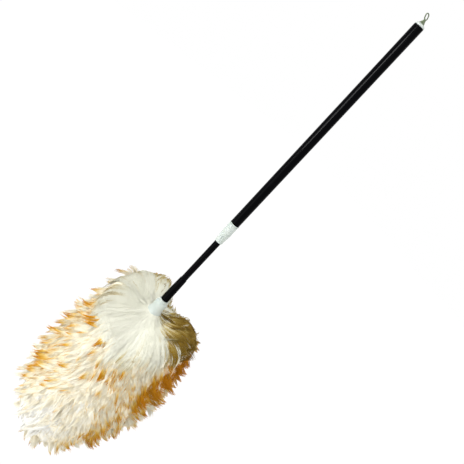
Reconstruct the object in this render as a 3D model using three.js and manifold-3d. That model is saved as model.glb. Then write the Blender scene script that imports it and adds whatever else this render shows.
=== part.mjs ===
// Telescopic lambswool duster, as it hangs: eye up, wool down, pole along -Z, in millimetres.
// The origin is on the pole's axis, at the height where a hook bears inside the eye.

import * as THREE from 'three';
import { mergeVertices } from 'three/addons/utils/BufferGeometryUtils.js';
import Module from 'manifold-3d';

const wasm = await Module();
wasm.setup();

// Tubes
const outerTubeDiameter = 16;
const outerTubeWall = 1;
const outerTubeLength = 390;
const innerTubeDiameter = 11;
const innerTubeWall = 1;
const shownTubeLength = 89;
const extensionTravel = 225;

// End cap with its hanging eye
const eyeHoleLength = 8.4;
const eyeHoleWidth = 5.2;
const eyeWall = 1.3;
const eyeThickness = 2;
const eyeLeanDegrees = 22;
const eyeSink = 1.2;
const coneHeight = 8;
const coneBaseDiameter = 8.4;
const coneTipDiameter = 3.2;
const domeHeight = 2.4;
const capFlangeThickness = 1.4;
const capPlugLength = 12;
const capPlugWall = 1.6;

// Nose ferrule at the mouth of the outer tube
const noseLength = 40;
const noseRimProud = 0.5;
const noseRimHeight = 1.6;
const noseGrooveDepth = 0.8;
const noseGrooveWidth = 1;
const noseBodyProud = 0.2;
const noseBodyLength = 17;
const noseTipWall = 0.9;
const noseLipHeight = 2.6;
const noseLipProud = 0.35;
const noseSpigotLength = 18;
const noseWindowLength = 6.4;
const noseWindowWidth = 2.6;
const noseWindowFromEnd = 11.4;
const noseWindowCount = 4;
const noseWindowTurnDegrees = -45;

// Eccentric twist lock at the inner end of the thin tube
const plugSpigotLength = 28;
const plugFlangeThickness = 3;
const plugFlangeGap = 0.6;
const journalDiameter = 7.4;
const eccentricity = 0.42;
const ringHeight = 14.4;
const ringToBoreGap = 0.7;
const ringSplitWidth = 2.4;
const washerThickness = 1.6;
const washerLobeCount = 4;
const washerLobeHeight = 0.7;
const screwDiameter = 3;
const screwGrip = 10;
const screwHeadDiameter = 6;
const screwHeadHeight = 2.4;
const screwSlotWidth = 0.9;
const screwSlotDepth = 1;

// Head socket on the outer end of the thin tube
const socketLength = 51;
const socketTopWall = 0.5;
const socketMouthDiameter = 14.2;
const tubeSeatDepth = 26;
const studDiameter = 8;
const studReach = 20;

// Head ferrule
const ferruleLength = 32;
const ferruleRimProud = 1.3;
const ferruleRimHeight = 3;
const ferruleGrooveDepth = 0.7;
const ferruleGrooveWidth = 1;
const ferruleBodyLength = 9;
const ferruleWall = 1.8;
const ferruleSkirtDiameter = 32;

// Head core, sheepskin strip and its staples
const rodDiameter = 12;
const rodLength = 300;
const rodChamfer = 1.5;
const peltThickness = 2.2;
const peltWidth = 33;
const peltTurnGap = 3;
const peltEndMargin = 6;
const stapleCrown = 9;
const stapleLeg = 7;
const stapleWire = 1;
const stapleSetback = 0.7;
const stapleSpacing = 2.6;

// Wool. The outline runs from the ferrule to the tip, as radius and share of the pile's length. The rises are
// slopes of the pile's upper side, by degrees about the pole: it stands up behind the ferrule, swells beside
// it and lies down in front of it. The lean moves the lower end to one side and the upper end to the other.
const woolTipReach = 66;
const woolOutline = [[30, 0.004], [57, 0], [79, 0.013], [91, 0.04], [103, 0.143], [113, 0.29], [116, 0.417],
  [111, 0.548], [103, 0.665], [91, 0.776], [72, 0.875], [47, 0.95]];
const woolRises = [[-45, -0.75], [0, -0.2], [40, 0.42], [75, 0.25], [110, -0.42], [152, 0.7], [180, 0.7],
  [225, 0.1], [270, -0.4]];
const woolLean = 14;
const woolLeanTurnDegrees = 225;
const woolLeanShares = [0.29, 0.87];
const woolLeanRootShare = 0.19;
const lockRows = 8;
const locksPerRow = 18;
const lockRelief = 12;
const woolSteps = 40;
const woolStepsPerLock = 3;

// Clearances
const seatGap = 0.2;
const pressGap = 0.2;
const slideGap = 0.4;
const endPlay = 0.3;
const stopGap = 0.5;
const softGap = 0.5;

// Facets
const roundSides = 36;
const arcSteps = 5;
const peltStepsPerTurn = 24;

// Radii that fits are worked out from
const outerBoreRadius = outerTubeDiameter / 2 - outerTubeWall;
const innerBoreRadius = innerTubeDiameter / 2 - innerTubeWall;
const guideRadius = innerTubeDiameter / 2 + slideGap;
const studHoleRadius = studDiameter / 2 + endPlay;
const journalRadius = journalDiameter / 2;
const ringRadius = outerBoreRadius - ringToBoreGap;
const peltInnerRadius = rodDiameter / 2 + endPlay;
const peltOuterRadius = peltInnerRadius + peltThickness;
const stapleOuterRadius = peltOuterRadius + seatGap + stapleWire;
const woolBoreRadius = stapleOuterRadius + softGap;
const ferruleSkirtRadius = ferruleSkirtDiameter / 2;
const ferruleRimRadius = socketMouthDiameter / 2 + ferruleRimProud;
const ferruleGrooveRadius = ferruleRimRadius - ferruleGrooveDepth;
const ferruleCavityRadius = peltOuterRadius + softGap;
const ferruleBodyRadius = ferruleCavityRadius + ferruleWall;

// Heights along the pole, from the eye down
const eyeLean = THREE.MathUtils.degToRad(eyeLeanDegrees);
const eyeFootZ = -(eyeHoleLength + eyeWall) * Math.cos(eyeLean);
const coneTipZ = eyeFootZ + eyeSink;
const coneBaseZ = coneTipZ - coneHeight;
const capFlangeTopZ = coneBaseZ - domeHeight;
const capFlangeBaseZ = capFlangeTopZ - capFlangeThickness;
const outerTubeTopZ = capFlangeBaseZ - seatGap;
const outerTubeEndZ = outerTubeTopZ - outerTubeLength;
const noseRimZ = outerTubeEndZ - seatGap;
const noseEndZ = noseRimZ - noseLength;
const noseSpigotTopZ = noseRimZ + noseSpigotLength;
const socketTopZ = noseEndZ - shownTubeLength;
const socketEndZ = socketTopZ - socketLength;
const plugSeatZ = noseSpigotTopZ + extensionTravel + stopGap;
const innerTubeTopZ = plugSeatZ - seatGap;
const innerTubeEndZ = socketTopZ - tubeSeatDepth;
const journalBaseZ = plugSeatZ + plugFlangeThickness;
const ringBaseZ = journalBaseZ + endPlay;
const journalTopZ = ringBaseZ + ringHeight + endPlay;
const washerBaseZ = journalTopZ + endPlay;
const screwSeatZ = washerBaseZ + washerThickness + endPlay;
const ferruleTopZ = socketEndZ - seatGap;
const ferruleEndZ = ferruleTopZ - ferruleLength;
const ferruleGrooveEnd = ferruleRimHeight + ferruleGrooveWidth;
const ferruleShoulderEnd = ferruleGrooveEnd + ferruleBodyRadius - ferruleGrooveRadius;
const ferruleTopDepth = ferruleShoulderEnd + ferruleWall;
const rodShoulderZ = ferruleTopZ - ferruleTopDepth - seatGap;
const rodEndZ = rodShoulderZ - rodLength;

// Materials
const blackTube = new THREE.MeshStandardMaterial({ color: 0x121216, roughness: 0.3, metalness: 0 });
const naturalPlastic = new THREE.MeshStandardMaterial({ color: 0xdfe2d8, roughness: 0.4, metalness: 0 });
const lockPlastic = new THREE.MeshStandardMaterial({ color: 0xd8d4c6, roughness: 0.5, metalness: 0 });
const steelWire = new THREE.MeshStandardMaterial({ color: 0x9a9c9f, roughness: 0.35, metalness: 1 });
const coreWood = new THREE.MeshStandardMaterial({ color: 0xb98f5e, roughness: 0.7, metalness: 0 });
const sheepskin = new THREE.MeshStandardMaterial({ color: 0xcdb795, roughness: 0.9, metalness: 0 });
const lambswool = new THREE.MeshStandardMaterial({ color: 0xe4d9c3, roughness: 1, metalness: 0 });

// Shape helpers

// Keeps only positions, joins shared corners and drops triangles with no width.
function closed(geometry) {
  const bare = geometry.clone();
  bare.deleteAttribute('normal');
  bare.deleteAttribute('uv');
  const merged = mergeVertices(bare, 1e-4);
  const corners = merged.index.array;
  const kept = [];
  for (let i = 0; i < corners.length; i += 3) {
    const [a, b, c] = [corners[i], corners[i + 1], corners[i + 2]];
    if (a !== b && b !== c && c !== a) {
      kept.push(a, b, c);
    }
  }
  merged.setIndex(kept);
  return merged;
}

function toSolid(geometry) {
  const mesh = closed(geometry);
  return new wasm.Manifold(new wasm.Mesh({
    numProp: 3,
    vertProperties: new Float32Array(mesh.attributes.position.array),
    triVerts: new Uint32Array(mesh.index.array),
  }));
}

function fromSolid(solid) {
  const mesh = solid.getMesh();
  const geometry = new THREE.BufferGeometry();
  geometry.setAttribute('position', new THREE.BufferAttribute(new Float32Array(mesh.vertProperties), 3));
  geometry.setIndex(new THREE.BufferAttribute(new Uint32Array(mesh.triVerts), 1));
  return geometry;
}

function cut(geometry, cutters) {
  return fromSolid(cutters.reduce((left, cutter) => left.subtract(toSolid(cutter)), toSolid(geometry)));
}

function join(geometry, other) {
  return fromSolid(toSolid(geometry).add(toSolid(other)));
}

// Turns a profile of [radius, height] about the pole's axis. It runs up the outside and down the bore.
function turned(profile, sides = roundSides) {
  const points = profile.map(([radius, height]) => new THREE.Vector2(radius, height));
  return closed(new THREE.LatheGeometry(points, sides).rotateX(Math.PI / 2));
}

function tube(outerRadius, boreRadius, length) {
  return turned([[outerRadius, -length], [outerRadius, 0], [boreRadius, 0], [boreRadius, -length],
    [outerRadius, -length]]);
}

// Points on a curve from one [radius, height] to another, bent towards a third, without its first point.
function bend(from, towards, to) {
  const [a, b, c] = [from, towards, to].map(([x, y]) => new THREE.Vector2(x, y));
  return new THREE.QuadraticBezierCurve(a, b, c).getPoints(arcSteps).slice(1).map((p) => [p.x, p.y]);
}

// A flat outline with round ends, standing along Y of its own plane.
function roundEnded(width, length) {
  const radius = width / 2;
  const straight = length / 2 - radius;
  const shape = new THREE.Shape();
  shape.absarc(0, straight, radius, 0, Math.PI, false);
  shape.absarc(0, -straight, radius, Math.PI, 2 * Math.PI, false);
  return shape;
}

function disc(radius, x = 0, y = 0) {
  return new THREE.Shape().absarc(x, y, radius, 0, 2 * Math.PI, false);
}

// Stands a plate, drawn in X and Y and extruded along Z, upright: drawn along Y and Z, thick along X.
function upright(geometry) {
  const axes = new THREE.Matrix4().makeBasis(
    new THREE.Vector3(0, 1, 0), new THREE.Vector3(0, 0, 1), new THREE.Vector3(1, 0, 0));
  return geometry.applyMatrix4(axes);
}

function piece(name, geometry, material, z = 0) {
  const mesh = new THREE.Mesh(geometry, material);
  mesh.name = name;
  mesh.position.z = z;
  return mesh;
}

// End cap: hollow plug, flange, low dome and cone turned in one, with the eye joined to the cone's tip
function endCap() {
  const plugRadius = outerBoreRadius - pressGap;
  const flangeRadius = outerTubeDiameter / 2;
  const coneBaseRadius = coneBaseDiameter / 2;
  const body = turned([
    [0, capFlangeBaseZ],
    [plugRadius - capPlugWall, capFlangeBaseZ],
    [plugRadius - capPlugWall, capFlangeBaseZ - capPlugLength],
    [plugRadius, capFlangeBaseZ - capPlugLength],
    [plugRadius, capFlangeBaseZ],
    [flangeRadius, capFlangeBaseZ],
    [flangeRadius, capFlangeTopZ],
    ...bend([flangeRadius, capFlangeTopZ], [flangeRadius - domeHeight / 2, coneBaseZ], [coneBaseRadius, coneBaseZ]),
    [coneTipDiameter / 2, coneTipZ],
    [0, coneTipZ],
  ]);
  const outline = roundEnded(eyeHoleWidth + 2 * eyeWall, eyeHoleLength + 2 * eyeWall);
  outline.holes.push(roundEnded(eyeHoleWidth, eyeHoleLength));
  const eye = upright(new THREE.ExtrudeGeometry(outline, {
    depth: eyeThickness, bevelEnabled: false, curveSegments: 2 * arcSteps,
  }));
  eye.translate(-eyeThickness / 2, 0, eyeHoleLength / 2 + eyeWall);
  eye.rotateY(-eyeLean);
  eye.translate(0, 0, eyeFootZ);
  return join(body, eye);
}

// Nose ferrule: spigot in the tube, rim under its end, grooved body, taper with windows, lip at the end
function noseFerrule() {
  const spigotRadius = outerBoreRadius - pressGap;
  const rimRadius = outerTubeDiameter / 2 + noseRimProud;
  const bodyRadius = outerTubeDiameter / 2 + noseBodyProud;
  const tipRadius = guideRadius + noseTipWall;
  const grooveTop = -noseRimHeight;
  const bodyTop = grooveTop - noseGrooveWidth;
  const taperTop = bodyTop - noseBodyLength;
  const lipTop = -noseLength + noseLipHeight;
  const body = turned([
    [tipRadius, -noseLength],
    [tipRadius + noseLipProud, -noseLength + noseLipProud],
    [tipRadius + noseLipProud, lipTop - noseLipProud],
    [tipRadius, lipTop],
    [tipRadius + noseLipProud, lipTop + noseWindowLength],
    [bodyRadius, taperTop],
    [bodyRadius, bodyTop],
    [bodyRadius - noseGrooveDepth, bodyTop],
    [bodyRadius - noseGrooveDepth, grooveTop],
    [rimRadius, grooveTop],
    [rimRadius, 0],
    [spigotRadius, 0],
    [spigotRadius, noseSpigotLength],
    [guideRadius, noseSpigotLength],
    [guideRadius, -noseLength],
    [tipRadius, -noseLength],
  ]);
  const windows = [];
  for (let i = 0; i < noseWindowCount; i += 1) {
    const window = upright(new THREE.ExtrudeGeometry(roundEnded(noseWindowWidth, noseWindowLength), {
      depth: rimRadius, bevelEnabled: false, curveSegments: arcSteps,
    }));
    window.translate(0, 0, noseWindowFromEnd - noseLength);
    window.rotateZ(THREE.MathUtils.degToRad(noseWindowTurnDegrees) + (2 * Math.PI * i) / noseWindowCount);
    windows.push(window);
  }
  return cut(body, windows);
}

// Cam plug: spigot in the thin tube, stop flange, and a journal set off the pole's axis
function camPlug() {
  const spigotRadius = innerBoreRadius - pressGap;
  const flangeRadius = outerBoreRadius - plugFlangeGap;
  const core = turned([
    [0, -plugSpigotLength],
    [spigotRadius, -plugSpigotLength],
    [spigotRadius, 0],
    [flangeRadius, 0],
    [flangeRadius, plugFlangeThickness],
    [0, plugFlangeThickness],
  ]);
  const journalTop = journalTopZ - plugSeatZ;
  const journal = turned([
    [0, plugFlangeThickness / 2],
    [journalRadius, plugFlangeThickness / 2],
    [journalRadius, journalTop],
    [0, journalTop],
  ]);
  journal.translate(0, -eccentricity, 0);
  const holeRadius = screwDiameter / 2 + pressGap;
  const holeBase = journalTop - screwGrip - endPlay;
  const hole = turned([
    [0, holeBase],
    [holeRadius, holeBase],
    [holeRadius, journalTop + 1],
    [0, journalTop + 1],
  ]);
  return cut(join(core, journal), [hole]);
}

// Lock ring: its bore is as far off its centre as the journal is off the pole, so a quarter turn centres it
function lockRing() {
  const outline = disc(ringRadius, -eccentricity, -eccentricity);
  outline.holes.push(disc(journalRadius + endPlay, 0, -eccentricity));
  const ring = new THREE.ExtrudeGeometry(outline, {
    depth: ringHeight, bevelEnabled: false, curveSegments: roundSides,
  });
  const split = new THREE.BoxGeometry(2 * ringRadius, ringSplitWidth, 2 * ringHeight);
  split.translate(ringRadius + journalRadius / 2, -eccentricity, ringHeight / 2);
  return cut(ring, [split]);
}

// Drag washer: lobes that rub in the bore, so it slides with the thin tube but does not turn
function dragWasher() {
  const lobeRadius = outerBoreRadius - endPlay;
  const outline = new THREE.Shape();
  const count = 2 * roundSides;
  for (let i = 0; i < count; i += 1) {
    const angle = (2 * Math.PI * i) / count;
    const radius = lobeRadius - washerLobeHeight * (0.5 - 0.5 * Math.cos(washerLobeCount * angle));
    const corner = [radius * Math.cos(angle), radius * Math.sin(angle)];
    if (i === 0) {
      outline.moveTo(...corner);
    } else {
      outline.lineTo(...corner);
    }
  }
  outline.closePath();
  outline.holes.push(disc(screwDiameter / 2 + slideGap));
  return closed(new THREE.ExtrudeGeometry(outline, {
    depth: washerThickness, bevelEnabled: false, curveSegments: arcSteps * 2,
  }));
}

function lockScrew() {
  const shankEnd = journalTopZ - screwSeatZ - screwGrip;
  const headRadius = screwHeadDiameter / 2;
  const body = turned([
    [0, shankEnd],
    [screwDiameter / 2, shankEnd + screwDiameter / 2],
    [screwDiameter / 2, 0],
    [headRadius, 0],
    [headRadius, screwHeadHeight / 2],
    ...bend([headRadius, screwHeadHeight / 2], [headRadius, screwHeadHeight], [headRadius / 2, screwHeadHeight]),
    [0, screwHeadHeight],
  ]);
  const slot = new THREE.BoxGeometry(2 * screwHeadDiameter, screwSlotWidth, 2 * screwSlotDepth);
  slot.translate(0, 0, screwHeadHeight);
  return cut(body, [slot]);
}

// Head socket: takes the thin tube from above and the stud of the head from below
function headSocket() {
  const tubeSeatRadius = innerTubeDiameter / 2 + pressGap;
  const topRadius = tubeSeatRadius + socketTopWall;
  const mouthRadius = socketMouthDiameter / 2;
  const webTop = -tubeSeatDepth - seatGap;
  return turned([
    [studHoleRadius, -socketLength],
    [mouthRadius, -socketLength],
    ...bend([mouthRadius, -socketLength], [mouthRadius, -socketLength / 2], [topRadius, 0]),
    [tubeSeatRadius, 0],
    [tubeSeatRadius, webTop],
    [studHoleRadius, webTop],
    [studHoleRadius, -socketLength],
  ]);
}

// Head ferrule: grooved rim under the socket, short body round the strip's end, flared skirt over the wool
function headFerrule() {
  const bodyEnd = -ferruleShoulderEnd - ferruleBodyLength;
  const flareMiddle = (bodyEnd - ferruleLength) / 2;
  const skirtBore = ferruleSkirtRadius - ferruleWall;
  return turned([
    [skirtBore, -ferruleLength],
    [ferruleSkirtRadius, -ferruleLength],
    ...bend([ferruleSkirtRadius, -ferruleLength], [ferruleBodyRadius, flareMiddle], [ferruleBodyRadius, bodyEnd]),
    [ferruleBodyRadius, -ferruleShoulderEnd],
    [ferruleGrooveRadius, -ferruleGrooveEnd],
    [ferruleGrooveRadius, -ferruleRimHeight],
    [ferruleRimRadius, -ferruleRimHeight],
    [ferruleRimRadius, 0],
    [studHoleRadius, 0],
    [studHoleRadius, -ferruleTopDepth],
    [ferruleCavityRadius, -ferruleTopDepth],
    [ferruleCavityRadius, bodyEnd],
    ...bend([ferruleCavityRadius, bodyEnd], [ferruleCavityRadius, flareMiddle], [skirtBore, -ferruleLength]),
  ]);
}

// Staple in its own plane: crown along Z at the given radius, legs towards the axis. Grown, it cuts its holes.
function staple(turn, z, grow) {
  const half = stapleCrown / 2 + grow;
  const wire = stapleWire + 2 * grow;
  const back = peltOuterRadius + seatGap + stapleWire + grow;
  const tip = peltOuterRadius + seatGap - stapleLeg - grow;
  const outline = new THREE.Shape([
    [tip, half], [tip, half - wire], [back - wire, half - wire], [back - wire, wire - half],
    [tip, wire - half], [tip, -half], [back, -half], [back, half],
  ].map(([radius, along]) => new THREE.Vector2(radius, along)));
  const geometry = new THREE.ExtrudeGeometry(outline, { depth: wire, bevelEnabled: false });
  geometry.translate(0, 0, -wire / 2);
  geometry.rotateX(Math.PI / 2);
  geometry.rotateZ(turn);
  return geometry.translate(0, 0, z);
}

// Sheepskin strip: a flat band wound down the rod, with a narrow gap between its turns
const peltPitch = peltWidth + peltTurnGap;
const peltTopZ = rodShoulderZ - peltEndMargin;
const peltTurns = (rodLength - 2 * peltEndMargin - peltWidth) / peltPitch;
const peltCentreZ = (turn) => peltTopZ - peltWidth / 2 - (peltPitch * turn) / (2 * Math.PI);

function peltStrip() {
  const steps = Math.round(peltTurns * peltStepsPerTurn);
  const section = [[peltOuterRadius, peltWidth / 2], [peltOuterRadius, -peltWidth / 2],
    [peltInnerRadius, -peltWidth / 2], [peltInnerRadius, peltWidth / 2]];
  const positions = [];
  for (let i = 0; i <= steps; i += 1) {
    const turn = (2 * Math.PI * peltTurns * i) / steps;
    for (const [radius, along] of section) {
      positions.push(radius * Math.cos(turn), radius * Math.sin(turn), peltCentreZ(turn) + along);
    }
  }
  const corners = [0, 3, 2, 0, 2, 1];
  for (let i = 0; i < steps; i += 1) {
    for (let k = 0; k < 4; k += 1) {
      const [a, b] = [4 * i + k, 4 * i + ((k + 1) % 4)];
      corners.push(a, b, b + 4, a, b + 4, a + 4);
    }
  }
  const last = 4 * steps;
  corners.push(last, last + 2, last + 3, last, last + 1, last + 2);
  const geometry = new THREE.BufferGeometry();
  geometry.setAttribute('position', new THREE.Float32BufferAttribute(positions, 3));
  geometry.setIndex(corners);
  return geometry;
}

const peltSelfGap = peltPitch - peltWidth;
console.log(`least gap between turns of the sheepskin strip: ${peltSelfGap.toFixed(2)} mm`);

// Staples: two at each end of the strip, set back from its ends along the winding
const peltTurnEnd = 2 * Math.PI * peltTurns;
const stapleTurns = {
  strip_staple_top_1: stapleSetback,
  strip_staple_top_2: stapleSetback + stapleSpacing,
  strip_staple_end_1: peltTurnEnd - stapleSetback - stapleSpacing,
  strip_staple_end_2: peltTurnEnd - stapleSetback,
};
const stapleHoles = Object.values(stapleTurns).map((turn) => staple(turn, peltCentreZ(turn), endPlay));

function headRod() {
  const rodRadius = rodDiameter / 2;
  const studRadius = studDiameter / 2;
  const studTop = socketEndZ + studReach;
  const body = turned([
    [0, rodEndZ],
    [rodRadius - rodChamfer, rodEndZ],
    [rodRadius, rodEndZ + rodChamfer],
    [rodRadius, rodShoulderZ],
    [studRadius, rodShoulderZ],
    [studRadius, studTop],
    [0, studTop],
  ]);
  return cut(body, stapleHoles);
}

// Wool: a soft body with rows of pointed locks in low relief, hollow for the wound rod
const woolEndZ = rodEndZ - woolTipReach;
const woolLength = ferruleEndZ - woolEndZ;

function woolRise(turn) {
  const [first] = woolRises;
  const round = [...woolRises, [first[0] + 360, first[1]]];
  const degrees = THREE.MathUtils.euclideanModulo(THREE.MathUtils.radToDeg(turn) - first[0], 360) + first[0];
  const next = round.findIndex(([at]) => at > degrees);
  const [[from, low], [to, high]] = [round[next - 1], round[next]];
  return THREE.MathUtils.lerp(low, high, THREE.MathUtils.smoothstep(degrees, from, to));
}

function woolShift(share, z) {
  const lower = THREE.MathUtils.smoothstep((ferruleEndZ - z) / woolLength, ...woolLeanShares);
  const size = woolLean * (lower - 0.5) * Math.min(share / woolLeanRootShare, 1);
  const turn = THREE.MathUtils.degToRad(woolLeanTurnDegrees);
  return [size * Math.cos(turn), size * Math.sin(turn)];
}

function woolPile() {
  const around = locksPerRow * woolStepsPerLock;
  const rimRadius = ferruleSkirtRadius + softGap;
  const line = new THREE.SplineCurve([
    [rimRadius, 0], ...woolOutline, [0, 1],
  ].map(([radius, share]) => new THREE.Vector2(radius, ferruleEndZ - share * woolLength)));
  const boreEndZ = rodEndZ - softGap;
  const bore = [[woolBoreRadius, ferruleEndZ - softGap], [woolBoreRadius, boreEndZ]];
  const positions = [];
  for (let i = 0; i < woolSteps; i += 1) {
    const share = i / woolSteps;
    const { x: radius, y: z } = line.getPointAt(share);
    const row = share * lockRows;
    const fade = Math.sin(Math.PI * share) ** 2;
    for (let k = 0; k < around; k += 1) {
      const turn = (2 * Math.PI * k) / around;
      const across = 0.5 + 0.5 * Math.cos(locksPerRow * turn + Math.PI * Math.floor(row));
      const along = row - Math.floor(row);
      const out = radius - fade * lockRelief * (1 - across * along);
      const height = z + woolRise(turn) * (radius - rimRadius) * (1 - share) ** 3;
      const [shiftX, shiftY] = woolShift(share, height);
      positions.push(out * Math.cos(turn) + shiftX, out * Math.sin(turn) + shiftY, height);
    }
  }
  for (const [radius, z] of bore) {
    for (let k = 0; k < around; k += 1) {
      const turn = (2 * Math.PI * k) / around;
      positions.push(radius * Math.cos(turn), radius * Math.sin(turn), z);
    }
  }
  const tip = positions.length / 3;
  positions.push(...woolShift(1, woolEndZ), woolEndZ, 0, 0, boreEndZ);
  const corners = [];
  const band = (upper, lower) => {
    for (let k = 0; k < around; k += 1) {
      const next = (k + 1) % around;
      const [a, b, c, d] = [upper + k, lower + k, lower + next, upper + next];
      corners.push(a, b, c, a, c, d);
    }
  };
  for (let i = 0; i < woolSteps - 1; i += 1) {
    band(i * around, (i + 1) * around);
  }
  const boreTop = woolSteps * around;
  band(boreTop, 0);
  band(boreTop + around, boreTop);
  for (let k = 0; k < around; k += 1) {
    const next = (k + 1) % around;
    corners.push((woolSteps - 1) * around + k, tip, (woolSteps - 1) * around + next);
    corners.push(boreTop + around + k, boreTop + around + next, tip + 1);
  }
  const geometry = new THREE.BufferGeometry();
  geometry.setAttribute('position', new THREE.Float32BufferAttribute(positions, 3));
  geometry.setIndex(corners);
  return geometry;
}

// Assembly: one group for each body that moves as a whole
const outerTube = tube(outerTubeDiameter / 2, outerBoreRadius, outerTubeLength);
const outerPole = new THREE.Group();
outerPole.add(
  piece('outer_tube', outerTube, blackTube, outerTubeTopZ),
  piece('end_cap', endCap(), naturalPlastic),
  piece('nose_ferrule', noseFerrule(), naturalPlastic, noseRimZ),
);

const dragBody = new THREE.Group();
dragBody.add(piece('drag_washer', dragWasher(), lockPlastic, washerBaseZ));

const innerTube = tube(innerTubeDiameter / 2, innerBoreRadius, innerTubeTopZ - innerTubeEndZ);
const innerPole = new THREE.Group();
innerPole.add(
  piece('inner_tube', innerTube, blackTube, innerTubeTopZ),
  piece('cam_plug', camPlug(), lockPlastic, plugSeatZ),
  piece('lock_screw', lockScrew(), steelWire, screwSeatZ),
  piece('head_socket', headSocket(), blackTube, socketTopZ),
  piece('head_ferrule', headFerrule(), naturalPlastic, ferruleTopZ),
  piece('head_rod', headRod(), coreWood),
  piece('pelt_strip', cut(peltStrip(), stapleHoles), sheepskin),
  piece('wool_pile', woolPile(), lambswool),
);
for (const [name, turn] of Object.entries(stapleTurns)) {
  innerPole.add(piece(name, closed(staple(turn, peltCentreZ(turn), 0)), steelWire));
}

const ringBody = new THREE.Group();
ringBody.add(piece('lock_ring', lockRing(), lockPlastic, ringBaseZ));

const duster = new THREE.Group();
duster.add(outerPole, dragBody, innerPole, ringBody);

export default duster;
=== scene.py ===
# %% [markdown]
# # A telescopic lambswool duster
# The duster hangs by the eye at its handle end: a thick black tube, a thin one that slides out of it,
# natural plastic fittings, and a head of cream wool with golden-brown tips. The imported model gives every
# piece its size and place in metres. This notebook loads it and gives each surface its look.

# %% Load the frame
import math

import bpy
import numpy as np
from mathutils import Matrix, Vector


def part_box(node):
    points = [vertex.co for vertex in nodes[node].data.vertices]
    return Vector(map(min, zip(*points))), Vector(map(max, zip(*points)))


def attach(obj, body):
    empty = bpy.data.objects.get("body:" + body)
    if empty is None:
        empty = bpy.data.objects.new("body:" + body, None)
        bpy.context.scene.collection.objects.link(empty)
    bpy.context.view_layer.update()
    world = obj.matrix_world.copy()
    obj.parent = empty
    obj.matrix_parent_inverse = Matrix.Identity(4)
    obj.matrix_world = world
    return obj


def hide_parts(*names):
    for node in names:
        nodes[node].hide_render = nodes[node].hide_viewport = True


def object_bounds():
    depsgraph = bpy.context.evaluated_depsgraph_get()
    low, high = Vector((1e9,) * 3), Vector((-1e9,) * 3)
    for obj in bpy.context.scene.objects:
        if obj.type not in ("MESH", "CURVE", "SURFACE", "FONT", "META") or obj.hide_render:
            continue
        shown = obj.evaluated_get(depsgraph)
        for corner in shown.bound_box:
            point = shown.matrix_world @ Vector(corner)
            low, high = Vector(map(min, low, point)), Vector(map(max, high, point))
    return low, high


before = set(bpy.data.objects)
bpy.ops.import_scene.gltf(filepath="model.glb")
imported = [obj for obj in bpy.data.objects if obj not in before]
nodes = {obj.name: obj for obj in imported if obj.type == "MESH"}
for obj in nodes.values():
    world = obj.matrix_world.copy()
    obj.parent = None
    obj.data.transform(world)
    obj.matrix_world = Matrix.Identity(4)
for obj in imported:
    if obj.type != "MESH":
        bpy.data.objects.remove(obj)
cad_box = [list(corner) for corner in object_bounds()]
print("loaded", len(nodes), "nodes, box", cad_box)

# %% [markdown]
# The camera stands a little above the middle of the pole and is rolled, so that the pole runs across the
# picture from corner to corner. A camera could be aimed with a Track To constraint, but the roll is easier
# to state with three axes: right, up and back, written straight into the camera's matrix.

# %% Camera
PICTURE_SIDE = 464  # pixels
FOCAL_LENGTH = 576  # pixels
POLE_RUN = Vector((-0.683, 0.730))  # the way from handle to head in the picture, right and down
CAMERA_DISTANCE = 0.917
CAMERA_TURN = math.radians(-45)
CAMERA_RISE = math.radians(17)
AIM_BELOW_TUBE = 0.013
AIM_BESIDE_POLE = 0.0053

outward = Vector((math.cos(CAMERA_TURN), math.sin(CAMERA_TURN), 0))
level_right = Vector((0, 0, 1)).cross(outward)
back = outward * math.cos(CAMERA_RISE) + Vector((0, 0, math.sin(CAMERA_RISE)))
level_up = back.cross(level_right)
picture_right = level_right * POLE_RUN.y - level_up * POLE_RUN.x
picture_up = level_up * POLE_RUN.y + level_right * POLE_RUN.x

tube_low, tube_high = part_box("outer_tube")
aim = Vector((0, 0, tube_low.z - AIM_BELOW_TUBE)) + level_right * AIM_BESIDE_POLE
axes = Matrix((picture_right, picture_up, back)).transposed().to_4x4()
bpy.ops.object.camera_add()
camera = bpy.context.object
camera.matrix_world = Matrix.Translation(aim + back * CAMERA_DISTANCE) @ axes
camera.data.sensor_width = 36
camera.data.lens = camera.data.sensor_width * FOCAL_LENGTH / PICTURE_SIDE
bpy.context.scene.camera = camera
print("camera at", tuple(round(c, 3) for c in camera.location), "lens", round(camera.data.lens, 1))

# %% [markdown]
# Shader maths is easier to read as arithmetic than as nodes and links. This small class wraps the output of
# a node. Adding, subtracting or multiplying makes a Math node, and every other node comes from `node`.


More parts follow.
